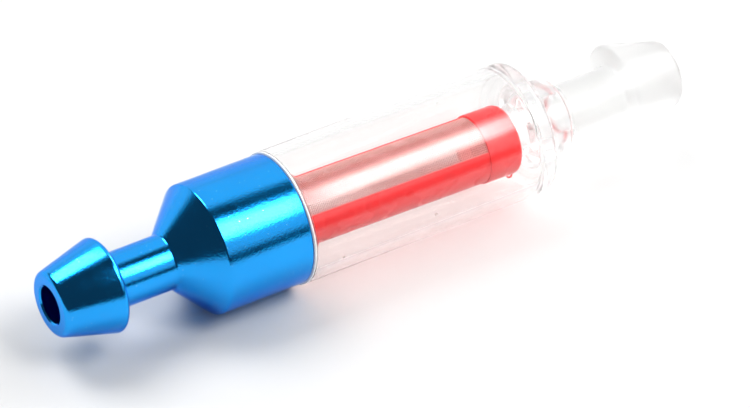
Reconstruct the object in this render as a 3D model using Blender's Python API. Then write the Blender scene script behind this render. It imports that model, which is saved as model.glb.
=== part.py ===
"""In-line fuel filter: a turned aluminium inlet cap screwed onto a clear bowl, with an O-ring and a
moulded strainer inside. The axis lies along X: inlet nipple at -X, outlet nipple at +X, +Z up.
The origin is on the axis, half way between the two nipple tips. Sizes here are in millimetres."""
import math

import bmesh
import bpy
from mathutils import Matrix, Vector

MM = 0.001

# Hose nipples, the same at both ends
BORE = 2.4                # fuel passage
NECK_DIAMETER = 3.5
BARB_DIAMETER = 6.2       # over the sharp corner, before it is rounded
LIP_DIAMETER = 4.1        # over the sharp corner of the tip
BARB_LENGTH = 3.9         # tip to back face
BARB_ROUND = 0.30
LIP_ROUND = 0.35
LIP_CHAMFER = 0.10
NECK_FILLET = 0.20

# Bowl
BOWL_DIAMETER = 8.5
BOWL_WALL = 0.62
BOWL_LENGTH = 17.5        # shoulder to end face
BOWL_END_WALL = 0.8
BOWL_END_ROUND = 0.65
BOWL_RIM_ROUND = 0.12
WEB = 0.3                 # inner shoulder between chamber and spigot
BOSS_DIAMETER = 4.9
BOSS_LENGTH = 2.2
BOSS_ROUND = 0.45
BOSS_FILLET = 0.5
OUTLET_NECK = 4.3
OUTLET_CHAMFER = 0.5
SPIGOT_WALL = 0.6         # under the thread

# Inlet cap
CAP_STEP = 0.1            # bowl stands proud of the cap
CAP_WALL = 0.6            # outside the thread's groove
CAP_NECK = 4.0
CAP_CONE = 2.35
CAP_LENGTH = 5.8          # cylinder
CAP_FLOOR = 0.5           # cylinder length left solid behind the cavity
CAP_EDGE = 0.15
CAP_RIM_ROUND = 0.10
FLOOR_CHAMFER = 0.20
RELIEF_WALL = 0.55        # round the O-ring's chamber
RELIEF_WIDTH = 1.2

# Thread between cap and bowl
THREAD_PITCH = 1.0
THREAD_DEPTH = 0.45
THREAD_CREST = 0.20
THREAD_ROOT = 0.60
THREAD_CLEARANCE = 0.08
THREAD_RUNOUT = 0.65      # plain stretch at each end of the spigot
MOUTH_MARGIN = 0.05       # countersink past the thread's full depth
JOINT_GAP = 0.08          # cap rim to bowl shoulder

# O-ring, squeezed between the cap's floor and the spigot, round the strainer's flange
RING_SECTION = 0.70
RING_SEAT_GAP = 0.02
RING_CLEARANCE = 0.06     # ring to flange rim
RING_MARGIN = 0.09        # ring to the wall of its chamber

# Strainer
STRAINER_CLEARANCE = 0.27 # to the spigot's bore
STRAINER_WALL = 0.40
STRAINER_END_GAP = 0.70   # closed end to the bowl's end wall
FLANGE_GAP = 0.06         # flange to its two seats
END_CAP_STEP = 0.08
END_CAP_LENGTH = 2.4
END_CAP_SOLID = 1.6
END_CAP_ROUND = 0.40
WINDOW_START = -0.6       # from the joint, just inside the cap
RIB_ANGLE = 194.0         # middle of one rib, from +Y towards +Z
RIB_WIDTH = 87.0
RIB_COUNT = 2
SAG = 1.1                 # degrees that the strainer hangs below the axis
SCREEN_THICKNESS = 0.10
SCREEN_RECESS = 0.03
SCREEN_GAP = 0.05

ROUND_SEGMENTS = 40
SECTION_SEGMENTS = 10
CORNER_STEPS = 3
SHARP_ANGLE = 30.0        # degrees between faces that still shade as one
FULL_EDGE = 0.95          # share of an edge that its two roundings may take

# Diameters that follow from the bowl inwards
CAP_DIAMETER = BOWL_DIAMETER - 2 * CAP_STEP
THREAD_MAJOR = CAP_DIAMETER - 2 * (CAP_WALL + THREAD_CLEARANCE)
THREAD_CORE = THREAD_MAJOR - 2 * THREAD_DEPTH
SPIGOT_BORE = THREAD_CORE - 2 * SPIGOT_WALL
STRAINER_DIAMETER = SPIGOT_BORE - 2 * STRAINER_CLEARANCE
END_CAP_DIAMETER = STRAINER_DIAMETER + 2 * END_CAP_STEP
RELIEF_DIAMETER = CAP_DIAMETER - 2 * RELIEF_WALL
FLANGE_DIAMETER = RELIEF_DIAMETER - 2 * (RING_SECTION + RING_CLEARANCE + RING_MARGIN)

# Places along X, measured from the joint between cap and bowl
INLET_TIP = -(CAP_LENGTH + CAP_CONE + CAP_NECK + BARB_LENGTH)
OUTLET_TIP = BOWL_LENGTH + BOSS_LENGTH + OUTLET_NECK + BARB_LENGTH
JOINT_X = -(INLET_TIP + OUTLET_TIP) / 2
CAVITY_FLOOR = -(CAP_LENGTH - CAP_FLOOR)
SPIGOT_END = CAVITY_FLOOR + RING_SECTION + 2 * RING_SEAT_GAP
FLANGE_BACK = CAVITY_FLOOR + FLANGE_GAP
FLANGE_FRONT = SPIGOT_END - FLANGE_GAP
STRAINER_REACH = BOWL_LENGTH - BOWL_END_WALL - STRAINER_END_GAP
WINDOW_END = STRAINER_REACH - END_CAP_LENGTH


def clear_scene():
    for item in list(bpy.data.objects):
        bpy.data.objects.remove(item, do_unlink=True)


def material(name, colour, roughness, metallic=0.0, transmission=0.0):
    made = bpy.data.materials.new(name)
    made.use_nodes = True
    shader = made.node_tree.nodes["Principled BSDF"]
    shader.inputs["Base Color"].default_value = (*colour, 1.0)
    shader.inputs["Roughness"].default_value = roughness
    shader.inputs["Metallic"].default_value = metallic
    shader.inputs["Transmission Weight"].default_value = transmission
    return made


def rounded(corners):
    """Outline points from (x, radius, rounding) corners. A rounded corner is an arc, which is made
    smaller where two of them would not fit on the edge between them."""
    places = [Vector(corner[:2]) for corner in corners]
    halves, takes = [], []
    for index, (place, corner) in enumerate(zip(places, corners)):
        half, take = 0, 0
        if corner[2]:
            half = (places[index - 1] - place).angle(places[index + 1] - place) / 2
            take = corner[2] / math.tan(half)
        halves.append(half)
        takes.append(take)
    lengths = [(there - here).length for here, there in zip(places, places[1:])]
    shares = [min(1, FULL_EDGE * length / max(a + b, FULL_EDGE * length))
              for length, a, b in zip(lengths, takes, takes[1:])]
    points = []
    for index, (place, half, take) in enumerate(zip(places, halves, takes)):
        if take == 0:
            points.append(place)
            continue
        take *= min(shares[index - 1], shares[index])
        back = (places[index - 1] - place).normalized()
        ahead = (places[index + 1] - place).normalized()
        centre = place + (back + ahead).normalized() * take / math.cos(half)
        start = place + back * take - centre
        turn = start.angle_signed(place + ahead * take - centre)
        for step in range(CORNER_STEPS + 1):
            swing = Matrix.Rotation(-turn * step / CORNER_STEPS, 2)
            points.append(centre + swing @ start)
    return points


def nipple(tip, inward):
    """Corners of a barbed hose nipple from its bore to its neck; inward is +1 or -1 along X."""
    back = tip + inward * BARB_LENGTH
    return [
        (tip + inward * LIP_CHAMFER, BORE / 2, 0),
        (tip, BORE / 2 + LIP_CHAMFER, 0),
        (tip, LIP_DIAMETER / 2, LIP_ROUND),
        (back, BARB_DIAMETER / 2, BARB_ROUND),
        (back, NECK_DIAMETER / 2, NECK_FILLET),
    ]


def mesh_object(name, bm, finish):
    bmesh.ops.remove_doubles(bm, verts=bm.verts, dist=1e-7)
    bmesh.ops.recalc_face_normals(bm, faces=bm.faces)
    mesh = bpy.data.meshes.new(name)
    bm.to_mesh(mesh)
    bm.free()
    mesh.shade_smooth()
    mesh.set_sharp_from_angle(angle=math.radians(SHARP_ANGLE))
    made = bpy.data.objects.new(name, mesh)
    made.data.materials.append(finish)
    bpy.context.scene.collection.objects.link(made)
    made.location.x = JOINT_X * MM
    return made


def spun(outline, closed, start=0.0, sweep=360.0, segments=ROUND_SEGMENTS):
    """A profile of (x, radius) points turned about X, from a start angle measured from +Y."""
    bm = bmesh.new()
    turn = Matrix.Rotation(math.radians(start), 3, "X")
    verts = [bm.verts.new(turn @ Vector((x, r, 0)) * MM) for x, r in outline]
    edges = [bm.edges.new(pair) for pair in zip(verts, verts[1:])]
    if closed:
        edges.append(bm.edges.new((verts[-1], verts[0])))
    first = bm.faces.new(verts) if sweep < 360 else None
    swept = bmesh.ops.spin(bm, geom=verts + edges, cent=(0, 0, 0), axis=(1, 0, 0),
                           angle=math.radians(sweep), steps=segments, use_merge=sweep >= 360)
    if first:
        last = [item for item in swept["geom_last"] if isinstance(item, bmesh.types.BMEdge)]
        bmesh.ops.edgeloop_fill(bm, edges=last)
    return bm


def thread_rows(fraction, low, high, grow, wall_radius):
    """Threaded wall between two places on X, as the rows of one column that stands a fraction of a
    turn round the axis. The ridge climbs one pitch each turn; grow widens it into its groove."""
    foot = THREAD_CORE / 2 + grow
    top = THREAD_MAJOR / 2 + grow
    crest = THREAD_CREST / 2 + grow
    root = THREAD_ROOT / 2 + grow
    rows = []
    first = math.floor(low / THREAD_PITCH) - 1
    last = math.ceil(high / THREAD_PITCH)
    for number in range(last, first - 1, -1):
        centre = (number + fraction) * THREAD_PITCH
        for offset, radius in ((root, foot), (crest, top), (-crest, top), (-root, foot)):
            x = centre + offset
            if not low < x < high:
                radius = foot
            x = min(max(x, low), high)
            rows.append((x, max(radius, wall_radius(x))))
    return rows


def threaded(before, rows, after):
    """A closed profile turned about X, with thread rows that change round the turn."""
    bm = bmesh.new()
    columns = []
    for number in range(ROUND_SEGMENTS + 1):
        fraction = number / ROUND_SEGMENTS
        turn = Matrix.Rotation(math.tau * fraction, 3, "X")
        outline = [*before, *rows(fraction), *after]
        columns.append([bm.verts.new(turn @ Vector((x, r, 0)) * MM) for x, r in outline])
    for here, there in zip(columns, columns[1:]):
        for index in range(len(here)):
            bm.faces.new((here[index - 1], here[index], there[index], there[index - 1]))
    return bm


def cut(target, cutter):
    cutter.hide_render = True
    cutter.display_type = "WIRE"
    change = target.modifiers.new(cutter.name, "BOOLEAN")
    change.operation = "DIFFERENCE"
    change.solver = "EXACT"
    change.object = cutter


def inlet_cap(finish):
    radius = CAP_DIAMETER / 2
    rim = -JOINT_GAP
    mouth = THREAD_MAJOR / 2 + THREAD_CLEARANCE + MOUTH_MARGIN
    relief = RELIEF_DIAMETER / 2
    relief_front = CAVITY_FLOOR + RELIEF_WIDTH
    before = rounded(nipple(INLET_TIP, 1) + [
        (-CAP_LENGTH - CAP_CONE, NECK_DIAMETER / 2, NECK_FILLET),
        (-CAP_LENGTH, radius, CAP_EDGE),
        (rim, radius, CAP_RIM_ROUND),
        (rim, mouth, 0),
    ])
    after = [
        (CAVITY_FLOOR, relief),
        (CAVITY_FLOOR, BORE / 2 + FLOOR_CHAMFER),
        (CAVITY_FLOOR - FLOOR_CHAMFER, BORE / 2),
    ]

    def wall_radius(x):
        """The bore opens out at 45 degrees to the mouth and to the O-ring's chamber."""
        return max(mouth - (rim - x), relief - (x - relief_front))

    def rows(fraction):
        return thread_rows(fraction, relief_front, rim, THREAD_CLEARANCE, wall_radius)

    mesh_object("inlet_cap", threaded(before, rows, after), finish)


def bowl(finish):
    radius = BOWL_DIAMETER / 2
    chamber = radius - BOWL_WALL
    chamber_end = BOWL_LENGTH - BOWL_END_WALL
    boss_end = BOWL_LENGTH + BOSS_LENGTH
    core = THREAD_CORE / 2
    spigot_bore = SPIGOT_BORE / 2
    before = rounded(nipple(OUTLET_TIP, -1) + [
        (boss_end, NECK_DIAMETER / 2, NECK_FILLET),
        (boss_end, BOSS_DIAMETER / 2, BOSS_ROUND),
        (BOWL_LENGTH, BOSS_DIAMETER / 2, BOSS_FILLET),
        (BOWL_LENGTH, radius, BOWL_END_ROUND),
        (0, radius, BOWL_RIM_ROUND),
        (0, core, 0),
    ])
    after = rounded([
        (SPIGOT_END, core, 0),
        (SPIGOT_END, spigot_bore, 0),
        (WEB, spigot_bore, 0),
        (WEB, chamber, BOWL_RIM_ROUND),
        (chamber_end, chamber, BOWL_END_ROUND),
        (chamber_end, BORE / 2 + OUTLET_CHAMFER, 0),
        (chamber_end + OUTLET_CHAMFER, BORE / 2, 0),
    ])

    def rows(fraction):
        return thread_rows(fraction, SPIGOT_END + THREAD_RUNOUT, -THREAD_RUNOUT, 0, lambda x: core)

    mesh_object("bowl", threaded(before, rows, after), finish)


def hang(item):
    """Turns a strainer piece down by the sag angle, about the middle of its flange."""
    middle = Vector(((FLANGE_BACK + FLANGE_FRONT) / 2 * MM, 0, 0))
    place = Matrix.Translation(middle) @ Matrix.Rotation(math.radians(SAG), 4, "Y")
    item.data.transform(place @ Matrix.Translation(-middle))


def window_angles():
    """Start angle and width of each window between the ribs."""
    spacing = 360 / RIB_COUNT
    first = RIB_ANGLE + RIB_WIDTH / 2
    return [(first + spacing * number, spacing - RIB_WIDTH) for number in range(RIB_COUNT)]


def strainer_frame(finish):
    radius = STRAINER_DIAMETER / 2
    inner = radius - STRAINER_WALL
    outline = rounded([
        (FLANGE_BACK, inner, 0),
        (FLANGE_BACK, FLANGE_DIAMETER / 2, 0),
        (FLANGE_FRONT, FLANGE_DIAMETER / 2, 0),
        (FLANGE_FRONT, radius, 0),
        (WINDOW_END, radius, 0),
        (WINDOW_END, END_CAP_DIAMETER / 2, 0),
        (STRAINER_REACH, END_CAP_DIAMETER / 2, END_CAP_ROUND),
        (STRAINER_REACH, 0, 0),
        (STRAINER_REACH - END_CAP_SOLID, 0, 0),
        (STRAINER_REACH - END_CAP_SOLID, inner, 0),
    ])
    frame = mesh_object("strainer_frame", spun(outline, closed=True), finish)
    hang(frame)
    spare = STRAINER_WALL
    block = [(WINDOW_START, inner - spare), (WINDOW_END, inner - spare),
             (WINDOW_END, radius + spare), (WINDOW_START, radius + spare)]
    for number, (start, width) in enumerate(window_angles()):
        sweep = spun(block, closed=True, start=start, sweep=width, segments=ROUND_SEGMENTS // 4)
        opening = mesh_object(f"window_{number}", sweep, finish)
        hang(opening)
        cut(frame, opening)


def screens(finish):
    outer = STRAINER_DIAMETER / 2 - SCREEN_RECESS
    inner = outer - SCREEN_THICKNESS
    gap = math.degrees(SCREEN_GAP / inner)
    start_x = WINDOW_START + SCREEN_GAP
    end_x = WINDOW_END - SCREEN_GAP
    section = [(start_x, inner), (end_x, inner), (end_x, outer), (start_x, outer)]
    for name, (start, width) in zip(("lower_screen", "upper_screen"), window_angles()):
        sweep = spun(section, closed=True, start=start + gap, sweep=width - 2 * gap,
                     segments=ROUND_SEGMENTS // 4)
        hang(mesh_object(name, sweep, finish))


def o_ring(finish):
    section = RING_SECTION / 2
    middle = FLANGE_DIAMETER / 2 + RING_CLEARANCE + section
    centre = (CAVITY_FLOOR + SPIGOT_END) / 2
    outline = []
    for step in range(SECTION_SEGMENTS):
        angle = math.tau * step / SECTION_SEGMENTS
        outline.append((centre + section * math.cos(angle), middle + section * math.sin(angle)))
    mesh_object("o_ring", spun(outline, closed=True), finish)


clear_scene()
inlet_cap(material("blue_anodised", (0.01, 0.36, 0.9), 0.22, metallic=1.0))
bowl(material("clear_plastic", (0.97, 0.97, 0.97), 0.04, transmission=1.0))
strainer_frame(material("red_plastic", (0.95, 0.03, 0.04), 0.35))
screens(material("nylon_screen", (0.95, 0.72, 0.70), 0.5))
o_ring(material("black_rubber", (0.02, 0.02, 0.02), 0.6))
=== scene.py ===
import math

import bmesh
import bpy
from mathutils import Matrix, Vector


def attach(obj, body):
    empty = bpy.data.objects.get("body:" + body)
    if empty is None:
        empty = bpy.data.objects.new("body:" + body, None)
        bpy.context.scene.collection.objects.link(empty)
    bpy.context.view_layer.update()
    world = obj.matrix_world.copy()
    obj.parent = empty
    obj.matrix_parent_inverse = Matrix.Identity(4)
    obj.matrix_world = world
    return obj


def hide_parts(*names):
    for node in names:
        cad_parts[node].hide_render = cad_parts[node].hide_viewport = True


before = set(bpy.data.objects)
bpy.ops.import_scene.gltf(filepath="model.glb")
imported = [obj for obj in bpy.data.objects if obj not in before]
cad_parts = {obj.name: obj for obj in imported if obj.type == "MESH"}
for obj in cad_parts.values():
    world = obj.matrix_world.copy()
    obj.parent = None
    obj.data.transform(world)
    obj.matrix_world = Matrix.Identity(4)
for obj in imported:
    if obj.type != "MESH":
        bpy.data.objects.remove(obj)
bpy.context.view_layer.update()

scene = bpy.context.scene

mm = 0.001
jointX = -5.925        # where the cap meets the bowl; every x below is counted from here, in millimetres
slack = 0.001          # how far a point may stray from its place, in millimetres
mergeWithin = 1e-8     # points of a finished piece that are closer than this, in metres, become one
cornerSteps = 6
sharpAngle = 32

# both hose nipples are alike; radii, and lengths along the axis
nipple = {
    "bore": 1.2,
    "lip": 2.05,
    "lipRound": 0.35,
    "lipChamfer": 0.1,
    "barb": 3.1,
    "barbRound": 0.3,
    "barbLength": 3.9,
    "neck": 1.75,
    "neckRound": 0.2,
}
thread = {
    "core": 3.02,
    "depth": 0.45,
    "pitch": 1.0,
    "crest": 0.2,
    "root": 0.6,
    "clearance": 0.08,
    "rows": 56,
    "endRows": 9,
}
sag = {"angle": 1.1, "pivot": -4.93}    # the strainer hangs a little below the axis


def drawOutline(corners):
    # a closed outline from (x, radius) or (x, radius, rounding) corners
    bm = bmesh.new()
    verts = [bm.verts.new((*corner[:2], 0)) for corner in corners]
    for pair in zip(verts, verts[1:] + verts[:1]):
        bm.edges.new(pair)
    for vert, corner in zip(verts, corners):
        if len(corner) == 3:
            one, two = [edge.other_vert(vert).co - vert.co for edge in vert.link_edges]
            bmesh.ops.bevel(bm, geom=[vert], offset=corner[2] / math.tan(one.angle(two) / 2),
                            segments=cornerSteps, profile=0.5, affect="VERTICES", material=-1)
    return bm


def nippleCorners(tip, inward):
    back = tip + inward * nipple["barbLength"]
    return [
        (tip + inward * nipple["lipChamfer"], nipple["bore"]),
        (tip, nipple["bore"] + nipple["lipChamfer"]),
        (tip, nipple["lip"], nipple["lipRound"]),
        (back, nipple["barb"], nipple["barbRound"]),
        (back, nipple["neck"], nipple["neckRound"]),
    ]


def addRows(bm, low, high, count):
    # splits the wall between two x places into rows that the thread can follow
    for edge in bm.edges[:]:
        ends = sorted(vert.co.x for vert in edge.verts)
        if abs(ends[0] - low) < slack and abs(ends[1] - high) < slack:
            bmesh.ops.subdivide_edges(bm, edges=[edge], cuts=count)
            return


def turnOutline(bm, steps, start=0.0):
    bmesh.ops.spin(bm, geom=bm.verts[:] + bm.edges[:], cent=(0, 0, 0), axis=(1, 0, 0),
                   angle=math.tau, steps=steps, use_merge=True)
    bmesh.ops.rotate(bm, verts=bm.verts, cent=(0, 0, 0),
                     matrix=Matrix.Rotation(math.radians(start), 3, "X"))


def cutThread(bm, low, high, radius, grow):
    # one right-handed ridge, raised out of a wall and out of any cone at its ends that it reaches past;
    # grow widens it into its groove
    top, foot = thread["crest"] / 2 + grow, thread["root"] / 2 + grow
    for vert in bm.verts:
        reach = math.hypot(vert.co.y, vert.co.z)
        if low < vert.co.x < high and radius - slack < reach < radius + thread["depth"]:
            turns = vert.co.x / thread["pitch"] - math.atan2(vert.co.z, vert.co.y) / math.tau
            away = abs((turns + 0.5) % 1 - 0.5) * thread["pitch"]
            height = min(max((foot - away) / (foot - top), 0), 1) * thread["depth"]
            vert.co.yz = vert.co.yz * max(1, (radius + height) / reach)


def hang(bm):
    bmesh.ops.rotate(bm, verts=bm.verts, cent=(sag["pivot"], 0, 0),
                     matrix=Matrix.Rotation(math.radians(sag["angle"]), 3, "Y"))


def addPiece(name, bm, material, body, slotName, *nodes):
    bmesh.ops.translate(bm, verts=bm.verts, vec=(jointX, 0, 0))
    bmesh.ops.scale(bm, verts=bm.verts, vec=(mm, mm, mm))
    bmesh.ops.remove_doubles(bm, verts=bm.verts, dist=mergeWithin)
    bmesh.ops.recalc_face_normals(bm, faces=bm.faces)
    mesh = bpy.data.meshes.new(name)
    bm.to_mesh(mesh)
    bm.free()
    mesh.shade_smooth()
    mesh.set_sharp_from_angle(angle=math.radians(sharpAngle))
    mesh.materials.append(material)
    piece = bpy.data.objects.new(name, mesh)
    scene.collection.objects.link(piece)
    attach(piece, body)
    if nodes:
        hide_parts(*nodes)
    print(name, len(mesh.polygons), "faces")


def feed(tree, value, socket):
    # gives a socket a plain value or the output of another node
    if isinstance(value, bpy.types.NodeSocket):
        tree.links.new(value, socket)
    else:
        socket.default_value = value


def addNode(tree, kind, values=(), **settings):
    made = tree.nodes.new(kind)
    for key, value in settings.items():
        setattr(made, key, value)
    for key, value in dict(values).items():
        feed(tree, value, made.inputs[key])
    return made


def addMath(tree, operation, one, other):
    return addNode(tree, "ShaderNodeMath", {0: one, 1: other}, operation=operation).outputs[0]


def mixColours(tree, share, first, second):
    return addNode(tree, "ShaderNodeMix", {0: share, 6: first, 7: second}, data_type="RGBA").outputs[2]


def addSteps(tree, source, places):
    # a mask that rises or falls between two places given in metres
    return addNode(tree, "ShaderNodeMapRange", {
        "Value": source, "From Min": places[0], "From Max": places[1]},
        interpolation_type="SMOOTHSTEP").outputs[0]


def addRamp(tree, source, low, high, stops):
    # a level that runs straight from each (place, level) stop to the next
    share = addNode(tree, "ShaderNodeMapRange", {"Value": source, "From Min": low, "From Max": high})
    ramp = addNode(tree, "ShaderNodeValToRGB", {0: share.outputs[0]})
    marks = ramp.color_ramp.elements
    marks.remove(marks[0])
    for number, (place, level) in enumerate(stops):
        place = (place - low) / (high - low)
        mark = marks.new(place) if number else marks[0]
        mark.position = place
        mark.color = (level, level, level, 1)
    return ramp.outputs[0]


def newMaterial(name, values):
    material = bpy.data.materials.new(name)
    material.use_nodes = True
    shader = material.node_tree.nodes["Principled BSDF"]
    for key, value in values.items():
        shader.inputs[key].default_value = value
    return material, material.node_tree, shader


def letLightPass(tree, shader, shade):
    # a thin translucent wall: some light goes on through it, tinted
    clear = addNode(tree, "ShaderNodeBsdfTransparent", {"Color": shade})
    path = addNode(tree, "ShaderNodeLightPath")
    mix = addNode(tree, "ShaderNodeMixShader", {
        0: path.outputs["Is Shadow Ray"], 1: shader.outputs[0], 2: clear.outputs[0]})
    feed(tree, mix.outputs[0], tree.nodes["Material Output"].inputs["Surface"])


def newGroup(name, inputs, outputs):
    group = bpy.data.node_groups.new(name, "ShaderNodeTree")
    for key, value in inputs.items():
        socket = group.interface.new_socket(name=key, in_out="INPUT", socket_type="NodeSocketFloat")
        socket.default_value = value
    for key in outputs:
        group.interface.new_socket(name=key, in_out="OUTPUT", socket_type="NodeSocketFloat")
    return group, group.nodes.new("NodeGroupInput"), group.nodes.new("NodeGroupOutput")


def makeGrainGroup():
    # fine moulded or turned grain: a height for a bump, and a roughness that wanders between two values
    slowShare = 0.12
    noiseLow, noiseHigh = 0.3, 0.7
    group, given, result = newGroup(
        "surfaceGrain", {"Scale": 1000.0, "Smooth": 0.2, "Coarse": 0.4}, ["Height", "Roughness"])
    place = addNode(group, "ShaderNodeTexCoord").outputs["Object"]
    fine = addNode(group, "ShaderNodeTexNoise", {
        "Vector": place, "Scale": given.outputs["Scale"], "Detail": 4.0, "Roughness": 0.6})
    slowScale = addMath(group, "MULTIPLY", given.outputs["Scale"], slowShare)
    slow = addNode(group, "ShaderNodeTexNoise", {"Vector": place, "Scale": slowScale, "Detail": 2.0})
    spread = addNode(group, "ShaderNodeMapRange", {
        "Value": slow.outputs[0], "From Min": noiseLow, "From Max": noiseHigh,
        "To Min": given.outputs["Smooth"], "To Max": given.outputs["Coarse"]})
    feed(group, fine.outputs[0], result.inputs["Height"])
    feed(group, spread.outputs[0], result.inputs["Roughness"])
    return group


def makeSpeckGroup():
    # a few tiny specks: a share of the cells have a round spot at their middle
    group, given, result = newGroup(
        "tinySpecks", {"Scale": 900.0, "Size": 0.05, "Share": 0.4}, ["Mask"])
    place = addNode(group, "ShaderNodeTexCoord").outputs["Object"]
    cells = addNode(group, "ShaderNodeTexVoronoi", {"Vector": place, "Scale": given.outputs["Scale"]})
    draw = addNode(group, "ShaderNodeSeparateXYZ", {0: cells.outputs["Color"]}).outputs["X"]
    near = addMath(group, "LESS_THAN", cells.outputs["Distance"], given.outputs["Size"])
    chosen = addMath(group, "LESS_THAN", draw, given.outputs["Share"])
    feed(group, addMath(group, "MULTIPLY", near, chosen), result.inputs["Mask"])
    return group


grainGroup = makeGrainGroup()
speckGroup = makeSpeckGroup()


def addSpecks(tree, scale, size, share):
    return addNode(tree, "ShaderNodeGroup", {"Scale": scale, "Size": size, "Share": share},
                   node_tree=speckGroup).outputs["Mask"]


def addGrain(tree, shader, scale, smooth, coarse, depth, under=None):
    # adds a bump, over another one if that is given, and a roughness, which is returned too
    grain = addNode(tree, "ShaderNodeGroup", {"Scale": scale, "Smooth": smooth, "Coarse": coarse},
                    node_tree=grainGroup)
    bump = addNode(tree, "ShaderNodeBump", {
        "Strength": 1.0, "Distance": depth * mm, "Height": grain.outputs["Height"]})
    if under is not None:
        feed(tree, under, bump.inputs["Normal"])
    feed(tree, grain.outputs["Roughness"], shader.inputs["Roughness"])
    feed(tree, bump.outputs["Normal"], shader.inputs["Normal"])
    return grain.outputs["Roughness"]


# in each piece's values, grain is a scale, the smoothest and the roughest surface, and a depth;
# specks are a scale, a size and a share
cap = {
    "tip": -16.05,
    "neckEnd": -8.15,
    "coneEnd": -5.8,
    "radius": 4.15,
    "edge": 0.15,
    "rim": -0.08,
    "rimRound": 0.1,
    "mouth": 3.6,
    "relief": 3.6,
    "reliefFront": -4.1,
    "floor": -5.3,
    "floorChamfer": 0.2,
    "steps": 192,
    "colour": (0.005, 0.33, 0.90, 1),
    "paler": (0.007, 0.39, 0.98, 1),
    "tintScale": 260.0,
    "edgeTint": (0.05, 0.45, 0.9, 1),
    "grain": (7000.0, 0.10, 0.16, 0.010),
    "lineScale": 9000.0,
    "lineSquash": (1.0, 0.02, 0.02),
    "lineDepth": 0.0006,
    "specks": (3600.0, 0.1, 0.35),
    # paler blue specks: painted glints on the dust
    "speck": (0.25, 0.62, 0.98, 1),
}


def makeAnodised():
    material, tree, shader = newMaterial("blueAnodised", {
        "Metallic": 1.0, "Specular Tint": cap["edgeTint"],
        "Coat Weight": 0.42, "Coat Roughness": 0.08, "Coat IOR": 1.5})
    place = addNode(tree, "ShaderNodeTexCoord").outputs["Object"]
    # turning lines run round the axis, so the pattern changes along x and hardly round it
    squash = addNode(tree, "ShaderNodeMapping", {"Vector": place, "Scale": cap["lineSquash"]})
    lines = addNode(tree, "ShaderNodeTexNoise", {
        "Vector": squash.outputs[0], "Scale": cap["lineScale"], "Detail": 3.0})
    lineBump = addNode(tree, "ShaderNodeBump", {
        "Height": lines.outputs[0], "Distance": cap["lineDepth"] * mm})
    addGrain(tree, shader, *cap["grain"], under=lineBump.outputs["Normal"])
    tint = addNode(tree, "ShaderNodeTexNoise", {"Vector": place, "Scale": cap["tintScale"], "Detail": 3.0})
    colours = mixColours(tree, tint.outputs[0], cap["colour"], cap["paler"])
    # dust specks painted a paler blue: partly real dust, partly painted glints where the dust catches the
    # light
    dustAndGlints = mixColours(tree, addSpecks(tree, *cap["specks"]), colours, cap["speck"])
    feed(tree, dustAndGlints, shader.inputs["Base Color"])
    return material


def makeInletCap():
    groove = thread["core"] + thread["clearance"]
    mouthEnd = cap["rim"] - (cap["mouth"] - groove)
    reliefEnd = cap["reliefFront"] + (cap["relief"] - groove)
    bm = drawOutline(nippleCorners(cap["tip"], 1) + [
        (cap["neckEnd"], nipple["neck"], nipple["neckRound"]),
        (cap["coneEnd"], cap["radius"], cap["edge"]),
        (cap["rim"], cap["radius"], cap["rimRound"]),
        (cap["rim"], cap["mouth"]),
        (mouthEnd, groove),
        (reliefEnd, groove),
        (cap["reliefFront"], cap["relief"]),
        (cap["floor"], cap["relief"]),
        (cap["floor"], nipple["bore"] + cap["floorChamfer"]),
        (cap["floor"] - cap["floorChamfer"], nipple["bore"]),
    ])
    addRows(bm, reliefEnd, mouthEnd, thread["rows"])
    # the groove runs out through the cone at each end
    addRows(bm, cap["reliefFront"], reliefEnd, thread["endRows"])
    addRows(bm, mouthEnd, cap["rim"], thread["endRows"])
    turnOutline(bm, cap["steps"])
    cutThread(bm, cap["reliefFront"], cap["rim"], groove, thread["clearance"])
    addPiece("inlet_cap_turned", bm, makeAnodised(), "cap", "inlet_cap", "inlet_cap")


bowl = {
    "tip": 27.9,
    "bossEnd": 19.7,
    "boss": 2.45,
    "bossRound": 0.45,
    "bossFillet": 0.5,
    "end": 17.5,
    "radius": 4.25,
    "endRound": 0.65,
    "rimRound": 0.12,
    "spigotEnd": -4.56,
    "spigotBore": 2.42,
    "runout": 0.65,
    "web": 0.3,
    "chamber": 3.63,
    "chamberEnd": 16.7,
    "outletChamfer": 0.5,
    "steps": 192,
    "shoulder": 0.05,
    "lipRound": 0.04,
    # faintly warm: the clear plastic's colour with a painted reflection of the red strainer
    "clear": (0.972, 0.969, 0.965, 1),
    "thick": (0.925, 0.93, 0.93, 1),    # the closed end, where light crosses more plastic
    "frosted": (0.90, 0.90, 0.895, 1),
    "shade": (0.90, 0.87, 0.865, 1),    # what is left of light that crosses the clear wall
    "frostedShade": (0.80, 0.80, 0.80, 1),
    "grain": (900.0, 0.0, 0.03, 0.0010),
    "specks": (480.0, 0.05, 0.5),
    "speckDull": 0.5,
    "frost": 0.42,
    "dull": 0.2,
    # where one finish gives way to the next along the axis, and at which radius on the web
    "endBlend": (16.3, 17.2),
    "outletBlend": (19.6, 20.4),
    "spigotBlend": (0.04, 0.0),
    "webBlend": (0.4, 0.3),
    "webReach": (4.15, 4.0),
}


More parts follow.
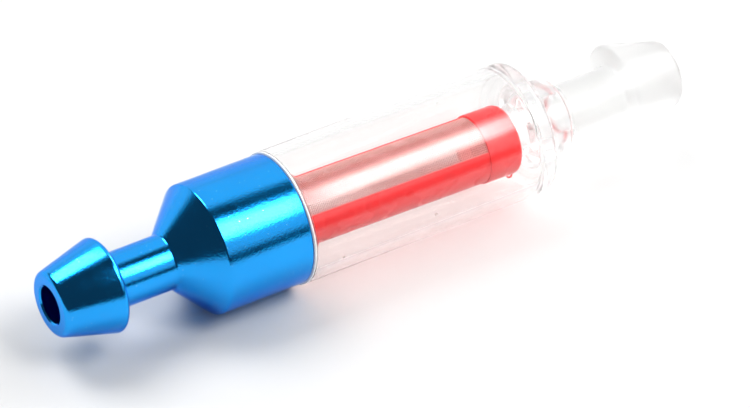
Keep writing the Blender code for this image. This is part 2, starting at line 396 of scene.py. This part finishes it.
def makeClearPlastic():
    material, tree, shader = newMaterial("clearPlastic", {
        "Base Color": bowl["clear"], "Transmission Weight": 1.0, "IOR": 1.49})
    place = addNode(tree, "ShaderNodeTexCoord").outputs["Object"]
    x = addNode(tree, "ShaderNodeSeparateXYZ", {0: place}).outputs["X"]
    across = addNode(tree, "ShaderNodeVectorMath", {0: place, 1: (0, 1, 1)}, operation="MULTIPLY")
    reach = addNode(tree, "ShaderNodeVectorMath", {0: across.outputs[0]}, operation="LENGTH")

    def along(places):
        return addSteps(tree, x, [(value + jointX) * mm for value in places])

    # the closed end is thicker and a little dull
    end = along(bowl["endBlend"])
    dull = addMath(tree, "MULTIPLY", end, bowl["dull"])
    # the nipple is frosted, and so are the spigot and the web behind the cap
    inner = addSteps(tree, reach.outputs["Value"], [value * mm for value in bowl["webReach"]])
    web = addMath(tree, "MULTIPLY", along(bowl["webBlend"]), inner)
    hidden = addMath(tree, "MAXIMUM", web, along(bowl["spigotBlend"]))
    outlet = along(bowl["outletBlend"])
    frost = addMath(tree, "MULTIPLY", addMath(tree, "MAXIMUM", hidden, outlet), bowl["frost"])
    # the clear colour carries a faint painted reflection of the red strainer
    depths = mixColours(tree, end, bowl["clear"], bowl["thick"])
    feed(tree, mixColours(tree, outlet, depths, bowl["frosted"]), shader.inputs["Base Color"])
    grain = addGrain(tree, shader, *bowl["grain"])
    rough = addMath(tree, "MAXIMUM", addMath(tree, "MAXIMUM", frost, dull), grain)
    specks = addMath(tree, "MULTIPLY", addSpecks(tree, *bowl["specks"]), bowl["speckDull"])
    feed(tree, addMath(tree, "MAXIMUM", rough, specks), shader.inputs["Roughness"])
    # light passes through the clear wall on its way to the strainer and the floor
    letLightPass(tree, shader, mixColours(tree, outlet, bowl["shade"], bowl["frostedShade"]))
    return material


def makeBowl():
    low, high = bowl["spigotEnd"] + bowl["runout"], -bowl["runout"]
    bm = drawOutline(nippleCorners(bowl["tip"], -1) + [
        (bowl["bossEnd"], nipple["neck"], nipple["neckRound"]),
        (bowl["bossEnd"], bowl["boss"], bowl["bossRound"]),
        (bowl["end"], bowl["boss"], bowl["bossFillet"]),
        (bowl["end"], bowl["radius"], bowl["endRound"]),
        (bowl["shoulder"], bowl["radius"], bowl["lipRound"]),
        (bowl["shoulder"], thread["core"]),
        (high, thread["core"]),
        (low, thread["core"]),
        (bowl["spigotEnd"], thread["core"]),
        (bowl["spigotEnd"], bowl["spigotBore"]),
        (bowl["web"], bowl["spigotBore"]),
        (bowl["web"], bowl["chamber"], bowl["rimRound"]),
        (bowl["chamberEnd"], bowl["chamber"], bowl["endRound"]),
        (bowl["chamberEnd"], nipple["bore"] + bowl["outletChamfer"]),
        (bowl["chamberEnd"] + bowl["outletChamfer"], nipple["bore"]),
    ])
    addRows(bm, low, high, thread["rows"])
    turnOutline(bm, bowl["steps"])
    cutThread(bm, low, high, thread["core"], 0)
    addPiece("clear_bowl", bm, makeClearPlastic(), "bowl", "bowl", "bowl")


# a pale ring in the gap where the cap seats on the bowl, painted to stand for a highlight: the white line of
# the bowl's sharp front edge catching the light
edgeHighlight = {
    "start": -0.075,
    "end": 0.045,
    "inside": 3.7,
    "outside": 4.245,
    "round": 0.03,
    # pale: the painted highlight of the bowl's front edge
    "colour": (0.95, 0.96, 0.97, 1),
    "grain": (5000.0, 0.35, 0.55, 0.003),
}


def makeEdgeHighlight():
    bm = drawOutline([(edgeHighlight["start"], edgeHighlight["inside"]), (edgeHighlight["start"], edgeHighlight["outside"], edgeHighlight["round"]),
                      (edgeHighlight["end"], edgeHighlight["outside"], edgeHighlight["round"]), (edgeHighlight["end"], edgeHighlight["inside"])])
    turnOutline(bm, bowl["steps"])
    # a matte pale finish, so the ring shows as a painted white highlight line
    material, tree, shader = newMaterial("paintedEdgeHighlight", {
        "Base Color": edgeHighlight["colour"], "Subsurface Weight": 0.3, "Subsurface Scale": 0.001,
        "Subsurface Radius": (0.3, 0.3, 0.3), "IOR": 1.49})
    addGrain(tree, shader, *edgeHighlight["grain"])
    addPiece("bowl_edge_highlight", bm, material, "bowl", "bowl")


strainer = {
    "back": -5.24,
    "front": -4.62,
    "flange": 2.75,
    "flangeRound": 0.05,
    "radius": 2.15,
    "inner": 1.75,
    "windowStart": -0.6,
    "windowEnd": 13.6,
    "ledge": 0.02,
    "ledgeRound": 0.05,
    "endRadius": 2.23,
    "end": 16.0,
    "endRound": 0.4,
    "endSolid": 1.6,
    "windows": (57.5, 237.5),    # where each window starts round the tube, from +Y towards +Z
    "width": 93,
    "step": 3,
    "insideWall": 1.65,    # every wall face's middle is farther out than this
    "colour": (0.88, 0.030, 0.034, 1),
    "brighter": (0.94, 0.040, 0.044, 1),
    "flowScale": 350.0,
    "grain": (3500.0, 0.22, 0.34, 0.004),
    "shade": (0.97, 0.84, 0.84, 1),    # what each wall lets through
}


def makeRedPlastic():
    material, tree, shader = newMaterial("redPlastic", {
        "Base Color": strainer["brighter"], "Subsurface Weight": 0.15,
        "Subsurface Radius": (0.6, 0.08, 0.05), "Subsurface Scale": 0.001, "IOR": 1.5,
        "Specular IOR Level": 0.25})
    addGrain(tree, shader, *strainer["grain"])
    place = addNode(tree, "ShaderNodeTexCoord").outputs["Object"]
    flow = addNode(tree, "ShaderNodeTexNoise", {
        "Vector": place, "Scale": strainer["flowScale"], "Detail": 3.0})
    colours = mixColours(tree, flow.outputs[0], strainer["colour"], strainer["brighter"])
    feed(tree, colours, shader.inputs["Base Color"])
    letLightPass(tree, shader, strainer["shade"])
    return material


redPlastic = makeRedPlastic()


def cutWindow(bm, start):
    # the faces of both walls go, and a reveal joins the two holes
    gone = []
    for face in bm.faces:
        middle = face.calc_center_median()
        angle = (math.degrees(math.atan2(middle.z, middle.y)) - start) % 360
        inReach = strainer["windowStart"] < middle.x < strainer["windowEnd"]
        if inReach and angle < strainer["width"] and middle.yz.length > strainer["insideWall"]:
            gone.append(face)
    bmesh.ops.delete(bm, geom=gone, context="FACES")
    rims = [edge for edge in bm.edges if edge.is_boundary]
    bmesh.ops.bridge_loops(bm, edges=rims)
    bmesh.ops.recalc_face_normals(bm, faces=bm.faces)


def makeStrainer():
    solidStart = strainer["end"] - strainer["endSolid"]
    bm = drawOutline([
        (strainer["back"], strainer["inner"]),
        (strainer["back"], strainer["flange"], strainer["flangeRound"]),
        (strainer["front"], strainer["flange"], strainer["flangeRound"]),
        (strainer["front"], strainer["radius"]),
        (strainer["windowStart"], strainer["radius"]),
        (strainer["windowEnd"], strainer["radius"]),
        (strainer["windowEnd"] + strainer["ledge"], strainer["endRadius"], strainer["ledgeRound"]),
        (strainer["end"], strainer["endRadius"], strainer["endRound"]),
        (strainer["end"], 0),
        (solidStart, 0),
        (solidStart, strainer["inner"]),
        (strainer["windowEnd"], strainer["inner"]),
        (strainer["windowStart"], strainer["inner"]),
    ])
    turnOutline(bm, 360 // strainer["step"], strainer["windows"][0])
    bmesh.ops.remove_doubles(bm, verts=bm.verts, dist=slack)
    for start in strainer["windows"]:
        cutWindow(bm, start)
    hang(bm)
    addPiece("strainer_tube", bm, redPlastic, "strainer", "strainer_frame", "strainer_frame")


# the curl of plastic left where the strainer was cut from its runner
gate = {
    "x": 15.65,
    "angle": 229,       # round the tube, from +Y towards +Z
    "radius": 2.2,
    "curl": 0.17,
    "thread": 0.06,
    "sides": 12,
    "sweep": 250,
    "steps": 18,
    "lean": (0.25, 1, 0),
    "rise": 0.025,
    "turn": 70,
}


def makeGate():
    foot = Vector((0, gate["radius"], 0))
    bm = bmesh.new()
    made = bmesh.ops.create_circle(bm, cap_ends=True, segments=gate["sides"], radius=gate["thread"])["verts"]
    bmesh.ops.translate(bm, verts=made, vec=foot)
    bmesh.ops.spin(bm, geom=bm.faces[:] + bm.edges[:] + bm.verts[:],
                   cent=(-gate["curl"], gate["radius"], 0), axis=gate["lean"],
                   dvec=(0, gate["rise"], 0), angle=math.radians(gate["sweep"]), steps=gate["steps"])
    bmesh.ops.rotate(bm, verts=bm.verts, cent=foot,
                     matrix=Matrix.Rotation(math.radians(gate["turn"]), 3, "X"))
    bmesh.ops.translate(bm, verts=bm.verts, vec=(gate["x"], 0, 0))
    bmesh.ops.rotate(bm, verts=bm.verts, cent=(0, 0, 0),
                     matrix=Matrix.Rotation(math.radians(gate["angle"]), 3, "X"))
    hang(bm)
    addPiece("gate_mark", bm, redPlastic, "strainer", "strainer_frame")


# the two woven screens
weave = {
    "radius": 2.07,
    "thread": 0.027,
    "swing": 0.022,
    "pitch": 0.12,
    "into": 0.1,        # held in the tube's edges
    "sides": 4,
    # pink: the thread's own colour, tinted with painted red light from the strainer's ribs behind it
    "colour": (0.52, 0.28, 0.26, 1),
    "shade": (0.98, 0.90, 0.90, 1),
    "grain": (6000.0, 0.2, 0.35, 0.002),
}


def makeNylon():
    material, tree, shader = newMaterial("nylonThread", {
        "Base Color": weave["colour"], "Subsurface Weight": 0.3, "Subsurface Scale": 0.001,
        "Subsurface Radius": (0.2, 0.1, 0.1), "IOR": 1.53,
        "Specular IOR Level": 0.25})
    addGrain(tree, shader, *weave["grain"])
    letLightPass(tree, shader, weave["shade"])
    return material


nylon = makeNylon()


def makeStrand(bm, centre, tilt, **spin):
    # one round thread, swept through a spin or along a straight line
    known = set(bm.verts)
    made = bmesh.ops.create_circle(bm, segments=weave["sides"], radius=weave["thread"],
                                   matrix=Matrix.Rotation(tilt, 4, "Y"))["verts"]
    bmesh.ops.translate(bm, verts=made, vec=centre)
    edges = list({edge for vert in made for edge in vert.link_edges})
    bmesh.ops.spin(bm, geom=made + edges, cent=(0, 0, 0), axis=(1, 0, 0), use_merge=False, **spin)
    return [vert for vert in bm.verts if vert not in known]


def copyStrand(bm, strand, places):
    edges = {edge for vert in strand for edge in vert.link_edges}
    faces = {face for vert in strand for face in vert.link_faces}
    geom = strand + list(edges) + list(faces)
    for place in places:
        made = bmesh.ops.duplicate(bm, geom=geom)["geom"]
        moved = [item for item in made if isinstance(item, bmesh.types.BMVert)]
        bmesh.ops.transform(bm, verts=moved, matrix=place)


def makeHoops(sweep, low, count, crossings):
    # threads that run round the tube, waving over and under at each crossing
    bm = bmesh.new()
    pair = []
    for parity in (0, 1):
        strand = makeStrand(bm, (low + parity * weave["pitch"], weave["radius"], 0), 0,
                            angle=math.radians(sweep), steps=2 * crossings)
        for vert in strand:
            angle = math.degrees(math.atan2(vert.co.z, vert.co.y)) % 360
            phase = (angle / sweep * crossings + parity) * math.pi
            reach = vert.co.yz.length
            vert.co.yz = vert.co.yz * (reach + weave["swing"] * math.cos(phase)) / reach
        pair += strand
    copyStrand(bm, pair, [Matrix.Translation((2 * number * weave["pitch"], 0, 0))
                          for number in range(1, count // 2)])
    return bm


def makeStays(sweep, low, high, count, crossings):
    # threads that run along the tube, waving the other way
    bm = bmesh.new()
    pair = []
    gap = math.radians(sweep / (count - 1))
    steps = 2 * crossings
    for parity in (0, 1):
        strand = makeStrand(bm, (low, weave["radius"], 0), math.pi / 2,
                            angle=0, dvec=((high - low) / steps, 0, 0), steps=steps)
        for vert in strand:
            phase = ((vert.co.x - low) / (high - low) * crossings + parity) * math.pi
            vert.co.y -= weave["swing"] * math.cos(phase)
        bmesh.ops.rotate(bm, verts=strand, cent=(0, 0, 0), matrix=Matrix.Rotation(parity * gap, 3, "X"))
        pair += strand
    copyStrand(bm, pair, [Matrix.Rotation(2 * number * gap, 4, "X")
                          for number in range(1, count // 2)])
    return bm


def makeScreen(name, node, start):
    spare = math.degrees(weave["into"] / weave["radius"])
    start, sweep = start - spare, strainer["width"] + 2 * spare
    low, high = strainer["windowStart"] - weave["into"], strainer["windowEnd"] + weave["into"]
    # both counts are even, because the threads are copied in pairs
    stays = 2 * round(math.radians(sweep) * weave["radius"] / weave["pitch"] / 2)
    hoops = 2 * round((high - low) / weave["pitch"] / 2)
    bm = makeHoops(sweep, low, hoops, stays - 1)
    along = makeStays(sweep, low, low + (hoops - 1) * weave["pitch"], stays, hoops - 1)
    mesh = bpy.data.meshes.new("along")
    along.to_mesh(mesh)
    along.free()
    bm.from_mesh(mesh)
    bpy.data.meshes.remove(mesh)
    bmesh.ops.rotate(bm, verts=bm.verts, cent=(0, 0, 0),
                     matrix=Matrix.Rotation(math.radians(start), 3, "X"))
    hang(bm)
    addPiece(name, bm, nylon, "strainer", "screen", node)


oRing = {
    "section": 0.35,
    "middle": 3.16,
    "x": -4.93,
    "steps": 144,
    "sides": 24,
    "colour": (0.018, 0.018, 0.02, 1),
    "grain": (2500.0, 0.42, 0.6, 0.006),
}


def makeRubber():
    material, tree, shader = newMaterial("blackRubber", {"Base Color": oRing["colour"]})
    addGrain(tree, shader, *oRing["grain"])
    return material


def makeORing():
    bm = bmesh.new()
    bmesh.ops.create_circle(bm, segments=oRing["sides"], radius=oRing["section"])
    bmesh.ops.translate(bm, verts=bm.verts, vec=(oRing["x"], oRing["middle"], 0))
    turnOutline(bm, oRing["steps"])
    addPiece("rubber_ring", bm, makeRubber(), "strainer", "o_ring", "o_ring")


makeInletCap()
makeBowl()
makeEdgeHighlight()
makeStrainer()
makeGate()
makeScreen("screen_upper", "upper_screen", strainer["windows"][0])
makeScreen("screen_lower", "lower_screen", strainer["windows"][1])
makeORing()


studio = {
    "floorReach": 3.0,
    "floorColour": (0.68, 0.68, 0.68, 1),
    "floorGrain": (800.0, 0.6, 0.75, 0.002),
    "wallLevel": 0.08,
    "endLean": ((0.43, 0.0), (0.6, 0.2), (1.0, 0.2)),
    "azimuth": -31.23,
    "elevation": 37.86,
    "distance": 0.4845,
    "lookAt": (-0.003123, 0.0, 0.0),
    "across": 0.003361,
    "up": -0.00006,
    "lens": 384.1,
    "sensor": 36,
    "nearest": 0.01,
    "bounces": 24,
}

# soft panels and lamps all round; a direction is given by its angle round the filter's axis, from +Y
# over the top, and by how far it leans along the axis; each lists (place, brightness) steps for both
panels = [
    {"around": ((-180, 1.0), (22, 1.0), (30, 0.0), (180, 0.0)),
     "lean": ((-0.95, 0.1), (-0.75, 1.0), (1.0, 1.0)),
     "level": 1.0},
    {"around": ((22, 0.0), (26, 1.0), (75, 1.0), (85, 0.0)),
     "lean": ((-0.14, 0.0), (0.02, 1.0), (1.0, 1.0)),
     "level": 1.0},
    {"around": ((138, 0.0), (143, 1.0), (159, 1.0), (164, 0.7), (170, 0.0)),
     "lean": ((0.1, 0.0), (0.3, 1.0), (1.0, 1.0)),
     "level": 0.95},
    {"around": ((101, 0.0), (108, 0.3), (117, 1.0), (130, 1.0), (138, 0.4), (144, 0.0)),
     "lean": ((0.24, 0.0), (0.33, 1.0), (0.49, 1.0), (0.58, 0.0)),
     "level": 11.0},
    {"around": ((38, 0.0), (46, 1.0), (70, 1.0), (78, 0.0)),
     "lean": ((-0.46, 0.0), (-0.3, 1.0), (0.06, 1.0), (0.11, 0.0)),
     "level": 8.0},
    {"around": ((104, 0.0), (110, 1.0), (132, 1.0), (138, 0.0)),
     "lean": ((0.14, 0.0), (0.17, 1.0), (0.28, 1.0), (0.3, 0.0)),
     "level": 10.0},
    {"around": ((55, 0.0), (65, 1.0), (115, 1.0), (125, 0.0)),
     "lean": ((0.62, 0.0), (0.66, 1.0), (0.88, 1.0), (0.92, 0.0)),
     "level": 5.0},
]


def makeWorld():
    world = bpy.data.worlds.new("studio")
    scene.world = world
    world.use_nodes = True
    tree = world.node_tree
    sky = tree.nodes["Background"]
    sky.inputs["Color"].default_value = (1, 1, 1, 1)
    way = addNode(tree, "ShaderNodeTexCoord").outputs["Generated"]
    parts = addNode(tree, "ShaderNodeSeparateXYZ", {0: way}).outputs
    angle = addMath(tree, "ARCTAN2", parts["Z"], parts["Y"])
    degrees = addMath(tree, "MULTIPLY", angle, math.degrees(1))
    ends = addRamp(tree, parts["X"], -1, 1, studio["endLean"])
    total = addMath(tree, "MAXIMUM", ends, studio["wallLevel"])
    for panel in panels:
        shape = addMath(tree, "MULTIPLY", addRamp(tree, degrees, -180, 180, panel["around"]),
                        addRamp(tree, parts["X"], -1, 1, panel["lean"]))
        total = addMath(tree, "MAXIMUM", total, addMath(tree, "MULTIPLY", shape, panel["level"]))
    feed(tree, total, sky.inputs["Strength"])


def makeFloor():
    bm = bmesh.new()
    bmesh.ops.create_grid(bm, x_segments=2, y_segments=2, size=studio["floorReach"])
    mesh = bpy.data.meshes.new("floor")
    bm.to_mesh(mesh)
    bm.free()
    material, tree, shader = newMaterial("paleBoard", {"Base Color": studio["floorColour"]})
    addGrain(tree, shader, *studio["floorGrain"])
    mesh.materials.append(material)
    floor = bpy.data.objects.new("floor", mesh)
    floor.location.z = -bowl["radius"] * mm
    scene.collection.objects.link(floor)


def makeCamera():
    azimuth, elevation = math.radians(studio["azimuth"]), math.radians(studio["elevation"])
    back = Vector((math.sin(azimuth) * math.cos(elevation),
                   -math.cos(azimuth) * math.cos(elevation), math.sin(elevation)))
    right = Vector((math.cos(azimuth), math.sin(azimuth), 0))
    aim = Vector(studio["lookAt"]) + right * studio["across"] + back.cross(right) * studio["up"]
    data = bpy.data.cameras.new("camera")
    data.lens = studio["lens"]
    data.sensor_width = studio["sensor"]
    data.clip_start = studio["nearest"]
    camera = bpy.data.objects.new("camera", data)
    camera.location = Vector(studio["lookAt"]) + back * studio["distance"]
    camera.rotation_mode = "QUATERNION"
    camera.rotation_quaternion = (aim - camera.location).to_track_quat("-Z", "Y")
    scene.collection.objects.link(camera)
    bpy.context.scene.camera = camera


makeWorld()
makeFloor()
makeCamera()
scene.view_settings.view_transform = "Standard"
# light crosses many walls inside the clear shoulder before it leaves
scene.cycles.max_bounces = studio["bounces"]
scene.cycles.transmission_bounces = studio["bounces"]
scene.cycles.glossy_bounces = studio["bounces"]
print("studio ready")
